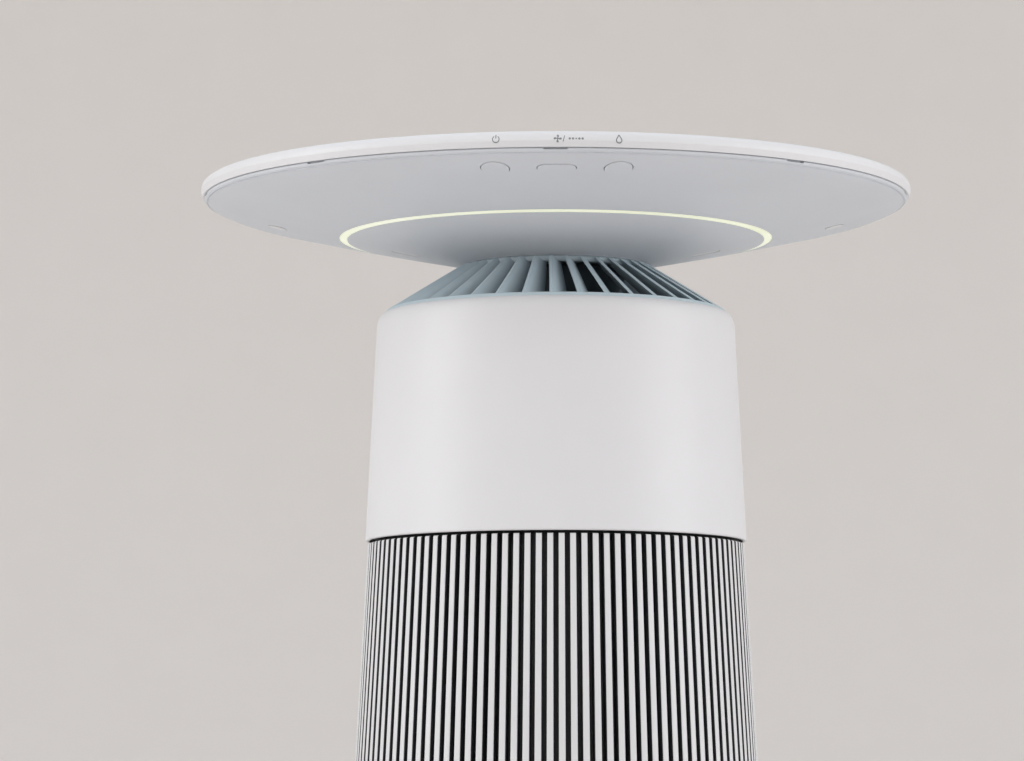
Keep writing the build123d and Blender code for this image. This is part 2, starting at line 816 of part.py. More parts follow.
with BuildPart() as filter_media:
    pleat_turn = 180.0 / PLEATS
    crest, root = FILTER_RADIUS - 2.4, FILTER_BORE + 7.0
    sheet = 1.6
    outside = [
        polar(crest if index % 2 == 0 else root + sheet, index * pleat_turn) for index in range(2 * PLEATS)
    ]
    inside = [
        polar(crest - sheet * 5 if index % 2 == 0 else root, index * pleat_turn)
        for index in range(2 * PLEATS)
    ]
    with BuildSketch(Plane.XY.offset(FILTER_BOTTOM + 3)):
        with BuildLine():
            Polyline(*outside, close=True)
        make_face()
        with BuildLine():
            Polyline(*inside, close=True)
        make_face(mode=Mode.SUBTRACT)
    extrude(amount=FILTER_TOP - FILTER_BOTTOM - 6)
save(filter_media, "filter_media")

with BuildPart() as filter_carbon:
    tube(FILTER_BORE, FILTER_BORE + 6, FILTER_BOTTOM + 3, FILTER_TOP - 3)
save(filter_carbon, "filter_carbon")

with BuildPart() as filter_mesh:
    tube(FILTER_RADIUS - 1.6, FILTER_RADIUS - 0.4, FILTER_BOTTOM + 3, FILTER_TOP - 3)
save(filter_mesh, "filter_mesh")

with BuildPart() as filter_pull_tab:
    with BuildSketch(Plane.XY.offset(FILTER_TOP)):
        with Locations((0, 88)):
            RectangleRounded(34, 34, 6)
        with Locations((0, 97)):
            SlotOverall(18, 7, mode=Mode.SUBTRACT)
        with Locations((0, 70)):
            Rectangle(60, 40, mode=Mode.SUBTRACT)
    extrude(amount=1.4)
save(filter_pull_tab, "filter_pull_tab")


# ---- Slatted grilles ----

def body_layer(low, high, outer, inner, first, arc, mode=Mode.ADD):
    """Band of the tapered body, between two depths behind its face."""
    turned(
        (body_radius(low) - inner, low),
        (body_radius(low) - outer, low),
        (body_radius(high) - outer, high),
        (body_radius(high) - inner, high),
        start=first,
        arc=arc,
        mode=mode,
    )


def cut_gaps(first, slats, low):
    """Cut the gaps between the slats, from a height upwards."""
    high = SLAT_TOP + 1.0
    with BuildPart() as gap:
        with BuildSketch(upright_plane(0)):
            with BuildLine():
                Polyline(
                    (body_radius(low) - SLAT_DEPTH, low),
                    (body_radius(low) + 4, low),
                    (body_radius(high) + 4, high),
                    (body_radius(high) - SLAT_DEPTH, high),
                    close=True,
                )
            make_face()
        extrude(amount=SLAT_GAP / 2, both=True)
    return [
        gap.part.moved(Location((0, 0, 0), (0, 0, first + index * PITCH)))
        for index in range(slats + 1)
    ]


FOOT_BAND = 7.0


def slat_faces(first, slats, bottom):
    """White outer faces of the slats, joined by a band at their feet."""
    with BuildPart() as faces:
        body_layer(bottom, SLAT_TOP, 0.0, FACE_DEPTH, first, slats * PITCH)
        add(cut_gaps(first, slats, bottom + FOOT_BAND), mode=Mode.SUBTRACT)
    return faces


def slat_ribs(first, slats, bottom):
    """Dark ribs that carry the faces, tied together by hoops behind them."""
    arc = slats * PITCH
    hoops = [(bottom, bottom + FOOT_BAND), (154.0, 160.0), (280.0, 286.0), (SLAT_TOP - 9.0, SLAT_TOP - 1.0)]
    with BuildPart() as ribs:
        body_layer(bottom, SLAT_TOP - 0.6, FACE_DEPTH, SLAT_DEPTH, first, arc)
        for low, high in hoops:
            body_layer(low, high, SLAT_DEPTH - 0.1, SLAT_DEPTH + HOOP_DEPTH, first, arc)
        add(cut_gaps(first, slats, bottom + FOOT_BAND), mode=Mode.SUBTRACT)
    return ribs


REAR_START = 90.0 - REAR_SLATS * PITCH / 2
FRONT_START = 90.0 + REAR_SLATS * PITCH / 2
FRONT_SLATS = SLAT_COUNT - REAR_SLATS

front_slats = slat_faces(FRONT_START, FRONT_SLATS, BASE_TOP)
save(front_slats, "front_slats")

front_grille = slat_ribs(FRONT_START, FRONT_SLATS, BASE_TOP)
save(front_grille, "front_grille")

GRIP_ANGLE = 8 * PITCH
GRIP_LOW, GRIP_HIGH = 360.0, 390.0
GRIP_DEPTH = 6.0
rear_faces = slat_faces(REAR_START, REAR_SLATS, SLAT_BOTTOM)
rear_ribs = slat_ribs(REAR_START, REAR_SLATS, SLAT_BOTTOM)

with BuildPart() as rear_slats:
    add(rear_faces.part)
    # finger recess
    body_layer(GRIP_LOW, GRIP_HIGH, -5, GRIP_DEPTH, 90 - GRIP_ANGLE / 2, GRIP_ANGLE, mode=Mode.SUBTRACT)
save(rear_slats, "rear_slats")

with BuildPart() as rear_grille:
    add(rear_ribs.part)
    body_layer(GRIP_LOW, GRIP_HIGH, -5, GRIP_DEPTH, 90 - GRIP_ANGLE / 2, GRIP_ANGLE, mode=Mode.SUBTRACT)
    # blocks that hold the catch magnets
    with BuildSketch(Plane.XY.offset(340)):
        with Locations((108, 44), (-108, 44)):
            Rectangle(18, 4)
    extrude(amount=14)
    for start in (REAR_START, 180 - REAR_START - PITCH * 1.5):
        body_layer(338, 356, SLAT_DEPTH - 0.1, SLAT_DEPTH + HOOP_DEPTH, start, PITCH * 1.5)
save(rear_grille, "rear_grille")

with BuildPart() as cover_grip:
    turned(
        (body_radius(356) - SLAT_DEPTH - 2.4, 356),
        (body_radius(356) - SLAT_DEPTH, 356),
        (body_radius(394) - SLAT_DEPTH, 394),
        (body_radius(394) - SLAT_DEPTH - 2.4, 394),
        start=90 - GRIP_ANGLE / 2 - 1.5,
        arc=GRIP_ANGLE + 3,
    )
save(cover_grip, "cover_grip")


def mesh_screen(first, arc):
    """Thin dust screen inside the hoops."""
    low, high = 42.0, 404.0
    turned(
        (body_radius(low) - 12.2, low),
        (body_radius(low) - 11.2, low),
        (body_radius(high) - 11.2, high),
        (body_radius(high) - 12.2, high),
        start=first,
        arc=arc,
    )


with BuildPart() as front_mesh:
    mesh_screen(FRONT_START + 1, FRONT_SLATS * PITCH - 2)
save(front_mesh, "front_mesh")

with BuildPart() as rear_mesh:
    mesh_screen(REAR_START + 3, REAR_SLATS * PITCH - 6)
save(rear_mesh, "rear_mesh")

with BuildPart() as frame_magnets:
    with BuildSketch(Plane.XZ.offset(-35.5)):
        with Locations((106.2, 347), (-106.2, 347)):
            Circle(4.5)
    extrude(amount=-3)
save(frame_magnets, "frame_magnets")

with BuildPart() as cover_magnets:
    with BuildSketch(Plane.XZ.offset(-39)):
        with Locations((106.2, 347), (-106.2, 347)):
            Circle(4.5)
    extrude(amount=-3)
save(cover_magnets, "cover_magnets")

# ---- Base ----

with BuildPart() as base_shell:
    foot_radius = body_radius(BASE_BOTTOM)
    turned(
        (foot_radius - BASE_WALL, BASE_BOTTOM),
        (foot_radius - 2.5, BASE_BOTTOM),
        (foot_radius - 0.7, BASE_BOTTOM + 0.8),
        (foot_radius, BASE_BOTTOM + 2.6),
        (body_radius(BASE_TOP), BASE_TOP - 0.8),
        (body_radius(BASE_TOP) - 0.8, BASE_TOP),
        (SKIRT_RADIUS - 5, BASE_TOP),
        (SKIRT_RADIUS - 5, BASE_TOP - 3),
        (body_radius(BASE_TOP) - BASE_WALL, BASE_TOP - 3),
    )
    with BuildSketch(Plane.XY.offset(BASE_TOP - 3)):
        with PolarLocations(SKIRT_RADIUS, 6, start_angle=30):
            Circle(2.0)
    extrude(amount=3, mode=Mode.SUBTRACT)
    # window for the power inlet, at the back
    with BuildSketch(Plane.XZ.offset(-140)):
        with Locations((0, 18)):
            RectangleRounded(26, 14, 3)
    extrude(amount=-20, mode=Mode.SUBTRACT)
save(base_shell, "base_shell")

with BuildPart() as base_plate:
    tube(0.0, foot_radius - BASE_WALL - 0.2, BASE_BOTTOM, BASE_BOTTOM + 3)
save(base_plate, "base_plate")

with BuildPart() as feet:
    with BuildSketch():
        with PolarLocations(126, 5, start_angle=FRONT):
            Circle(12)
    extrude(amount=BASE_BOTTOM)
    fillet(feet.edges().group_by(Axis.Z)[0], 1.2)
save(feet, "feet")

with BuildPart() as power_inlet:
    with BuildSketch(Plane.XZ.offset(-128)):
        with Locations((0, 18)):
            RectangleRounded(25.6, 13.6, 2.8)
    extrude(amount=-22.5)
    with BuildSketch(Plane.XZ.offset(-150.5)):
        with Locations((-3.6, 18), (3.6, 18)):
            Circle(4.4)
    extrude(amount=14, mode=Mode.SUBTRACT)
    with BuildSketch(Plane.XZ.offset(-136)):
        with Locations((-3.6, 18), (3.6, 18)):
            Circle(1.2)
    extrude(amount=-11)
save(power_inlet, "power_inlet")

with BuildPart() as power_supply:
    with BuildSketch(Plane.XY.offset(14)):
        with Locations((0, 55)):
            RectangleRounded(130, 80, 3)
    extrude(amount=1.6)
    with BuildSketch(Plane.XY.offset(BASE_BOTTOM + 3)):
        with Locations((0, 55)):
            with GridLocations(118, 68, 2, 2):
                Circle(3)
    extrude(amount=7)
    with BuildSketch(Plane.XY.offset(15.6)):
        with Locations((-20, 55)):
            Rectangle(34, 28)
        with Locations((30, 40), (30, 58), (30, 76)):
            Circle(8)
        with Locations((-50, 70)):
            Rectangle(16, 30)
    extrude(amount=16)
save(power_supply, "power_supply")

with BuildPart() as base_screws:
    with BuildSketch(Plane.XY.offset(BASE_TOP - 3)):
        with PolarLocations(SKIRT_RADIUS, 6, start_angle=30):
            Circle(3.4)
    extrude(amount=-2)
    with BuildSketch(Plane.XY.offset(BASE_TOP - 3)):
        with PolarLocations(SKIRT_RADIUS, 6, start_angle=30):
            Circle(1.6)
    extrude(amount=13)
save(base_screws, "base_screws")
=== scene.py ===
import json
from math import ceil, cos, pi, radians, sin, sqrt, tau

import bmesh
import bpy
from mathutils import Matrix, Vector


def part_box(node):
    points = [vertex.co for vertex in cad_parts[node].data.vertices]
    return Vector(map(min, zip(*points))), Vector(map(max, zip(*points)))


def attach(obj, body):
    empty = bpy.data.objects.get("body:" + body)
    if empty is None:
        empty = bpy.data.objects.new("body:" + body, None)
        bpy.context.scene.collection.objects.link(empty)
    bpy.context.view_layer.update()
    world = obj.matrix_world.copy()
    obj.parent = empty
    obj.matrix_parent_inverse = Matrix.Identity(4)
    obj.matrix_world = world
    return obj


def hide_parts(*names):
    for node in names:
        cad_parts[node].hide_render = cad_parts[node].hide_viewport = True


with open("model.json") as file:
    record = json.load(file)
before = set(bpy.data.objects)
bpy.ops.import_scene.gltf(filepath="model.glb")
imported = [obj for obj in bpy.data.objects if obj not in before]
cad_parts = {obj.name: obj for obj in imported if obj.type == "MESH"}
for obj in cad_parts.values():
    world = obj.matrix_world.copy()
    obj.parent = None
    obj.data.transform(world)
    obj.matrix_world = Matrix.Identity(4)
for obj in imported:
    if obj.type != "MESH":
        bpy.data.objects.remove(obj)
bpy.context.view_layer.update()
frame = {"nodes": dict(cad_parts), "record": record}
nodes = frame["nodes"]

MM = 0.001

# ---- Sizes ----

# read from the frame
TOP_LOW, TOP_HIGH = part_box("table_top")
DISC_RADIUS = TOP_HIGH.x
FRONT_LOW, FRONT_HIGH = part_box("front_slats")
REAR_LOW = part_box("rear_slats")[0]
SLAT_TOP = FRONT_HIGH.z

# cone of the outlet's vanes, and how far in the painted shade on them deepens
VANE_FOOT, VANE_HEAD = 579 * MM, 611 * MM
OUTLET_FOOT_RADIUS, OUTLET_HEAD_RADIUS = 119 * MM, 67.2 * MM
VANE_PAINTED_SHADE_DEPTH = 24 * MM

# slats of the body and of the removable rear cover
SLAT_TOP_RADIUS = 131.7 * MM
TAPER = 0.057                  # radius gained for each metre down
SLAT_COUNT = 108
PITCH = tau / SLAT_COUNT
SLAT_GAP = 3.15 * MM
FACE_DEPTH = 1.6 * MM
FACE_CORNER = 1.0 * MM
CORNER_STEPS = 4
FACE_END_EASE = 0.8 * MM
FOOT_BAND = 7 * MM
FOOT_BAND_EASE = 0.7 * MM
FOOT_BAND_STEPS = 3            # for each slat
FOOT_OVERLAP = 1.0 * MM        # of the slats' ends and the foot band
REAR_SLATS = 42
RECESS_LOW, RECESS_HIGH = 360 * MM, 390 * MM
RECESS_SLATS = 8
PAINTED_SHADE_FLANK = 0.72              # a side leans this much, as a cosine, before it is painted dark as shade
LEVEL_END = 0.5                # upward or downward faces keep the white

# signs printed on the rim
SIGN_HEIGHT = TOP_HIGH.z - 6.2 * MM
PRINT_LIFT = 0.03 * MM
PRINT_DEPTH = 0.12 * MM
RIM_MARGIN = 0.02 * MM         # keeps the print inside the disc's outline
RIM_LEAN = 1.4 * MM            # of the rim's side, inwards to its lower edge
BAR_LENGTH = 0.4               # millimetres, short enough to follow the rim's curve
POWER_ACROSS, FAN_ACROSS, DROP_ACROSS = -39.0, 1.4, 41.5
DOTS_ACROSS, DOT_SPACING = 9.2, 2.1
DOT_RADII = (0.75, 0.75, 0.5, 0.75, 0.75)

# camera and stage, in metres and degrees
CAMERA_PLACE = (0, -2.979, 0.2322)
CAMERA_LENS = 149.55           # millimetres, on a sensor 36 mm wide
CAMERA_TILT, CAMERA_TURN = 5.73, 0.593
STAGE_FLAT, STAGE_BEND_START = 2.2, 4.2
STAGE_BEND, STAGE_TOP = 2.0, 6.0
STAGE_BEND_STEPS, STAGE_SEGMENTS = 12, 64


# ---- Materials ----

def new_material(name):
    """Empty node material and its Principled shader."""
    material = bpy.data.materials.new(name)
    material.use_nodes = True
    tree = material.node_tree
    shader = tree.nodes["Principled BSDF"]
    return material, tree, shader


def object_coords(tree, scale=(1, 1, 1)):
    """Object coordinates, stretched."""
    coords = tree.nodes.new("ShaderNodeTexCoord")
    mapping = tree.nodes.new("ShaderNodeMapping")
    mapping.inputs["Scale"].default_value = scale
    tree.links.new(coords.outputs["Object"], mapping.inputs["Vector"])
    return mapping.outputs["Vector"]


def noise(tree, vector, scale, detail=2.0, roughness=0.5):
    """Noise value at a number of waves for each metre."""
    texture = tree.nodes.new("ShaderNodeTexNoise")
    texture.inputs["Scale"].default_value = scale
    texture.inputs["Detail"].default_value = detail
    texture.inputs["Roughness"].default_value = roughness
    tree.links.new(vector, texture.inputs["Vector"])
    return texture.outputs["Fac"]


def ramp(tree, value, stops):
    """Colour ramp through (position, colour) stops."""
    node = tree.nodes.new("ShaderNodeValToRGB")
    elements = node.color_ramp.elements
    while len(elements) < len(stops):
        elements.new(0.5)
    for element, (position, colour) in zip(elements, stops):
        element.position = position
        element.color = (*colour, 1)
    tree.links.new(value, node.inputs["Fac"])
    return node.outputs["Color"]


def spread(tree, value, low, high):
    """Map a 0 to 1 value on to a range."""
    node = tree.nodes.new("ShaderNodeMapRange")
    node.inputs["To Min"].default_value = low
    node.inputs["To Max"].default_value = high
    tree.links.new(value, node.inputs["Value"])
    return node.outputs["Result"]


def bump(tree, shader, height, strength, distance):
    """Fine relief from a height value."""
    node = tree.nodes.new("ShaderNodeBump")
    node.inputs["Strength"].default_value = strength
    node.inputs["Distance"].default_value = distance
    tree.links.new(height, node.inputs["Height"])
    tree.links.new(node.outputs["Normal"], shader.inputs["Normal"])


def tint(colour, factor):
    """The colour made lighter or darker."""
    return tuple(min(1.0, channel * factor) for channel in colour)


def plastic(name, colour, rough=0.42, grain=1400.0, relief=0.12, coat=0.0, wear=0.02):
    """Moulded plastic: fine spark-eroded grain, faint flow and handling variation."""
    material, tree, shader = new_material(name)
    coords = object_coords(tree)
    cloud = noise(tree, coords, 9.0, 3.0)
    tone = ramp(tree, cloud, [(0.3, tint(colour, 1 - wear)), (0.7, tint(colour, 1 + wear))])
    tree.links.new(tone, shader.inputs["Base Color"])
    smear = noise(tree, coords, 38.0, 4.0, 0.6)
    tree.links.new(spread(tree, smear, rough - 0.06, rough + 0.07), shader.inputs["Roughness"])
    shader.inputs["Specular IOR Level"].default_value = 0.45
    if coat:
        shader.inputs["Coat Weight"].default_value = coat
        shader.inputs["Coat Roughness"].default_value = 0.2
    bump(tree, shader, noise(tree, coords, grain, 2.0), relief, 0.00006)
    return material


def metal(name, colour, rough=0.3, brush=(1, 1, 60)):
    """Drawn or plated metal with fine directional lines."""
    material, tree, shader = new_material(name)
    shader.inputs["Metallic"].default_value = 1.0
    coords = object_coords(tree, brush)
    lines = noise(tree, coords, 120.0, 4.0, 0.65)
    tone = ramp(tree, lines, [(0.35, tint(colour, 0.86)), (0.65, tint(colour, 1.08))])
    tree.links.new(tone, shader.inputs["Base Color"])
    tree.links.new(spread(tree, lines, rough - 0.08, rough + 0.12), shader.inputs["Roughness"])
    bump(tree, shader, lines, 0.2, 0.00005)
    return material


def rubber(name, colour):
    """Matt rubber with a dusty bloom."""
    material, tree, shader = new_material(name)
    coords = object_coords(tree)
    dust = noise(tree, coords, 60.0, 5.0, 0.6)
    tone = ramp(tree, dust, [(0.35, colour), (0.75, tint(colour, 1.5))])
    tree.links.new(tone, shader.inputs["Base Color"])
    tree.links.new(spread(tree, dust, 0.7, 0.9), shader.inputs["Roughness"])
    bump(tree, shader, noise(tree, coords, 900.0, 3.0), 0.3, 0.0001)
    return material


def woven(name, dark, light, pitch, radius=0.12):
    """Net or cloth: threads up the body and round it, at their true pitch at a radius."""
    material, tree, shader = new_material(name)
    coords = object_coords(tree)
    split = tree.nodes.new("ShaderNodeSeparateXYZ")
    tree.links.new(coords, split.inputs["Vector"])
    turn = tree.nodes.new("ShaderNodeMath")
    turn.operation = "ARCTAN2"
    tree.links.new(split.outputs["Y"], turn.inputs[0])
    tree.links.new(split.outputs["X"], turn.inputs[1])
    waves = []
    for source, rate in ((turn.outputs[0], radius * tau / pitch), (split.outputs["Z"], tau / pitch)):
        scaled = tree.nodes.new("ShaderNodeMath")
        scaled.operation = "MULTIPLY"
        scaled.inputs[1].default_value = rate
        tree.links.new(source, scaled.inputs[0])
        wave = tree.nodes.new("ShaderNodeMath")
        wave.operation = "SINE"
        tree.links.new(scaled.outputs[0], wave.inputs[0])
        waves.append(wave.outputs[0])
    both = tree.nodes.new("ShaderNodeMath")
    both.operation = "MAXIMUM"
    tree.links.new(waves[0], both.inputs[0])
    tree.links.new(waves[1], both.inputs[1])
    tone = ramp(tree, both.outputs[0], [(0.2, dark), (0.8, light)])
    tree.links.new(tone, shader.inputs["Base Color"])
    shader.inputs["Roughness"].default_value = 0.85
    bump(tree, shader, both.outputs[0], 0.5, 0.0003)
    return material


def circuit(name, colour):
    """Printed board: solder mask over faint tracks."""
    material, tree, shader = new_material(name)
    coords = object_coords(tree)
    bricks = tree.nodes.new("ShaderNodeTexBrick")
    bricks.inputs["Scale"].default_value = 260.0
    bricks.inputs["Color1"].default_value = (*colour, 1)
    bricks.inputs["Color2"].default_value = (*tint(colour, 1.35), 1)
    bricks.inputs["Mortar"].default_value = (*tint(colour, 2.2), 1)
    tree.links.new(coords, bricks.inputs["Vector"])
    tree.links.new(bricks.outputs["Color"], shader.inputs["Base Color"])
    shader.inputs["Roughness"].default_value = 0.35
    bump(tree, shader, bricks.outputs["Fac"], 0.3, 0.00008)
    return material


def vane_plastic_painted_shade(name, light, dark):
    """Vane plastic with painted shade: pale at the vanes' outer edges and painted darker with depth behind
    the outlet's cone.
    """
    material, tree, shader = new_material(name)
    coords = object_coords(tree)
    height = tree.nodes.new("ShaderNodeSeparateXYZ")
    tree.links.new(coords, height.inputs["Vector"])
    reach = tree.nodes.new("ShaderNodeVectorMath")
    reach.operation = "LENGTH"
    tree.links.new(object_coords(tree, (1, 1, 0)), reach.inputs[0])
    # radius of the cone at this height
    cone = tree.nodes.new("ShaderNodeMapRange")
    cone.clamp = False
    cone.inputs["From Min"].default_value = VANE_FOOT
    cone.inputs["From Max"].default_value = VANE_HEAD
    cone.inputs["To Min"].default_value = OUTLET_FOOT_RADIUS
    cone.inputs["To Max"].default_value = OUTLET_HEAD_RADIUS
    tree.links.new(height.outputs["Z"], cone.inputs["Value"])
    depth = tree.nodes.new("ShaderNodeMath")
    depth.operation = "SUBTRACT"
    tree.links.new(cone.outputs["Result"], depth.inputs[0])
    tree.links.new(reach.outputs["Value"], depth.inputs[1])
    share = tree.nodes.new("ShaderNodeMapRange")
    share.inputs["From Max"].default_value = VANE_PAINTED_SHADE_DEPTH
    tree.links.new(depth.outputs[0], share.inputs["Value"])
    cloud = noise(tree, coords, 30.0, 3.0)
    shade = tree.nodes.new("ShaderNodeMath")
    shade.operation = "ADD"
    tree.links.new(share.outputs["Result"], shade.inputs[0])
    tree.links.new(spread(tree, cloud, -0.03, 0.03), shade.inputs[1])
    # painted shade: the ramp runs from the lit colour at the outer edge to the shaded colour deep inside
    middle = tuple((a + b) / 2 for a, b in zip(light, dark))
    tone = ramp(tree, shade.outputs[0], [(0.1, light), (0.5, middle), (0.95, dark)])
    tree.links.new(tone, shader.inputs["Base Color"])
    tree.links.new(spread(tree, cloud, 0.4, 0.52), shader.inputs["Roughness"])
    bump(tree, shader, noise(tree, coords, 1400.0, 2.0), 0.12, 0.00006)
    return material


def lit_ring(name):
    """Translucent ring, lit pale yellow-white, a little uneven along its length."""
    material, tree, shader = new_material(name)
    coords = object_coords(tree)
    glow = noise(tree, coords, 14.0, 2.0)
    tone = ramp(tree, glow, [(0.3, (0.86, 0.90, 0.66)), (0.7, (0.90, 0.93, 0.76))])
    tree.links.new(tone, shader.inputs["Base Color"])
    tree.links.new(tone, shader.inputs["Emission Color"])
    tree.links.new(spread(tree, glow, 0.3, 0.42), shader.inputs["Emission Strength"])
    shader.inputs["Roughness"].default_value = 0.4
    bump(tree, shader, noise(tree, coords, 700.0, 2.0), 0.1, 0.0001)
    return material


MATERIALS = {
    "white_shell": plastic("white_shell", (0.81, 0.815, 0.835), 0.40, coat=0.05),
    "grille_white": plastic("grille_white", (0.78, 0.785, 0.80), 0.45),
    "bowl_grey": plastic("bowl_grey", (0.69, 0.72, 0.765), 0.45),
    "button_plastic": plastic("button_plastic", (0.69, 0.72, 0.765), 0.38),
    # the vanes' second, dark colour is painted shade deep inside the outlet
    "vane_grey": vane_plastic_painted_shade("vane_grey", (0.59, 0.71, 0.77), (0.13, 0.175, 0.205)),
    "ring_diffuser": lit_ring("ring_diffuser"),
    "dark_plastic": plastic("dark_plastic", (0.027, 0.030, 0.034), 0.55, wear=0.12),
    "fan_plastic": plastic("fan_plastic", (0.05, 0.053, 0.058), 0.45, wear=0.08),
    "circuit_board": circuit("circuit_board", (0.01, 0.07, 0.03)),
    "led": plastic("led", (0.85, 0.82, 0.55), 0.25),
    "steel": metal("steel", (0.58, 0.59, 0.61)),
    "copper_core": metal("copper_core", (0.55, 0.28, 0.16), 0.35, (60, 60, 1)),
    "filter_paper": woven("filter_paper", (0.72, 0.72, 0.70), (0.86, 0.86, 0.84), 0.002),
    "filter_cap": plastic("filter_cap", (0.74, 0.76, 0.78), 0.5),
    "carbon": rubber("carbon", (0.02, 0.02, 0.022)),
    "filter_net": woven("filter_net", (0.45, 0.48, 0.51), (0.82, 0.84, 0.86), 0.0022),
    "dust_net": woven("dust_net", (0.004, 0.0045, 0.005), (0.018, 0.019, 0.021), 0.0016),
    "rubber_black": rubber("rubber_black", (0.02, 0.02, 0.022)),
    "seal_foam": rubber("seal_foam", (0.06, 0.065, 0.07)),
    "magnet": metal("magnet", (0.6, 0.61, 0.63), 0.22),
    "pull_strap": woven("pull_strap", (0.05, 0.12, 0.22), (0.12, 0.26, 0.42), 0.0012),
    "print_grey": plastic("print_grey", (0.25, 0.27, 0.29), 0.5),
}

# parts seen through the outlet are a cool dark grey, which also paints the shade inside the outlet
OUTLET_SHADE_GREY = plastic("outlet_shade_grey", (0.085, 0.115, 0.135), 0.5, wear=0.1)

slot_of = {entry["node"]: entry["material_slot"] for entry in frame["record"]["subparts"]}
for name, node in nodes.items():
    node.data.materials.clear()
    node.data.materials.append(MATERIALS[slot_of[name]])
# painted shade: the deflector's colour stands in for the shade between the vanes
nodes["air_deflector"].data.materials[0] = OUTLET_SHADE_GREY


# ---- Mesh helpers ----

def piece_from(name, made, material, body, replaced=(), sharp=35):
    """Finish a bmesh as a piece that rides on a body."""
    bmesh.ops.recalc_face_normals(made, faces=made.faces)
    mesh = bpy.data.meshes.new(name)
    made.to_mesh(mesh)
    made.free()
    for polygon in mesh.polygons:
        polygon.use_smooth = True
    mesh.set_sharp_from_angle(angle=radians(sharp))
    mesh.materials.append(MATERIALS[material])
    piece = bpy.data.objects.new(name, mesh)
    bpy.context.scene.collection.objects.link(piece)
    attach(piece, body)
    if replaced:
        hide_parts(*replaced)
    return piece


def stack(made, rings):
    """Closed solid from rings of points, each ring joined to the next."""
    rows = [[made.verts.new(point) for point in ring] for ring in rings]
    count = len(rows[0])
    for low, high in zip(rows[:-1], rows[1:]):
        for i in range(count):
            j = (i + 1) % count
            made.faces.new((low[i], low[j], high[j], high[i]))
    made.faces.new(list(reversed(rows[0])))
    made.faces.new(rows[-1])


# ---- White faces of the slats ----

def body_radius(height):
    """Outer radius of the slatted body at a height."""
    return SLAT_TOP_RADIUS + TAPER * (SLAT_TOP - height)


def face_section(angle, height, setback):
    """Level cut through one slat's face, with rounded outer corners."""
    front = body_radius(height) - setback
    back = body_radius(height) - FACE_DEPTH
    half_width = (front * sin(PITCH / 2) - SLAT_GAP / 2) / cos(PITCH / 2)
    corner = min(FACE_CORNER, front - back)
    outline = [(back, -half_width), (front - corner, -half_width)]
    for step in range(1, CORNER_STEPS + 1):
        turn = step / CORNER_STEPS * pi / 2
        outline.append((front - corner * (1 - sin(turn)), -half_width + corner * (1 - cos(turn))))
    mirrored = [(out, -side) for out, side in reversed(outline)]
    return [
        (out * cos(angle) - side * sin(angle), out * sin(angle) + side * cos(angle), height)
        for out, side in outline + mirrored
    ]


def slat_face(made, angle, low, high):
    """Upright face of one slat from a height to another, its ends eased."""
    ease = FACE_END_EASE
    heights = [low, low + 0.3 * ease, low + ease, (low + high) / 2, high - ease, high - 0.3 * ease, high]
    setbacks = [ease, 0.3 * ease, 0.0, 0.0, 0.0, 0.3 * ease, ease]
    stack(made, [face_section(angle, height, setback) for height, setback in zip(heights, setbacks)])


def foot_band(made, first, slats, bottom):
    """Band that closes the gaps at the bottom, with eased edges."""
    steps = slats * FOOT_BAND_STEPS
    arc = slats * PITCH
    ease = FOOT_BAND_EASE
    top = bottom + FOOT_BAND
    rings = []
    for step in range(steps + 1):
        angle = first + arc * step / steps
        corners = [
            (bottom, FACE_DEPTH),
            (bottom, ease),
            (bottom + 0.3 * ease, 0.3 * ease),
            (bottom + ease, 0.0),
            (top - ease, 0.0),
            (top - 0.3 * ease, 0.3 * ease),
            (top, ease),
            (top, FACE_DEPTH),
        ]
        rings.append([
            ((body_radius(height) - depth) * cos(angle), (body_radius(height) - depth) * sin(angle), height)
            for height, depth in corners
        ])
    stack(made, rings)


def slatted_ring(name, node, body, first, slats, bottom):
    """White faces of a grille's slats and foot, in place of their CAD node, with painted shade on the flanks
    in the gaps.
    """
    made = bmesh.new()
    low = bottom + FOOT_BAND - FOOT_OVERLAP
    for index in range(slats):
        angle = first + (index + 0.5) * PITCH
        if body == "rear_cover" and abs(angle - pi / 2) < RECESS_SLATS * PITCH / 2:
            slat_face(made, angle, low, RECESS_LOW)
            slat_face(made, angle, RECESS_HIGH, SLAT_TOP)
        else:
            slat_face(made, angle, low, SLAT_TOP)
    foot_band(made, first, slats, bottom)
    piece = piece_from(name, made, "grille_white", body, [node], sharp=50)
    # painted shade: the flanks in the gaps and the steepest part of each rounded corner get the dark plastic
    # of the ribs behind them
    piece.data.materials.append(MATERIALS["dark_plastic"])
    for polygon in piece.data.polygons:
        outward = Vector((polygon.center.x, polygon.center.y, 0)).normalized()
        if polygon.normal.dot(outward) < PAINTED_SHADE_FLANK and abs(polygon.normal.z) < LEVEL_END:
            polygon.material_index = 1


rear_start = pi / 2 - REAR_SLATS * PITCH / 2
front_start = pi / 2 + REAR_SLATS * PITCH / 2
slatted_ring("front_slat_faces", "front_slats", "housing", front_start, SLAT_COUNT - REAR_SLATS, FRONT_LOW.z)
slatted_ring("rear_slat_faces", "rear_slats", "rear_cover", rear_start, REAR_SLATS, REAR_LOW.z)


# ---- Printed signs on the rim, over the buttons ----

# control points of the rim's upper curve, as radius and height
RIM_CURVE = [
    (DISC_RADIUS - 10 * MM, TOP_HIGH.z),
    (DISC_RADIUS - 3 * MM, TOP_HIGH.z),
    (DISC_RADIUS, TOP_HIGH.z - 2.6 * MM),
    (DISC_RADIUS, TOP_HIGH.z - 7.5 * MM),
]


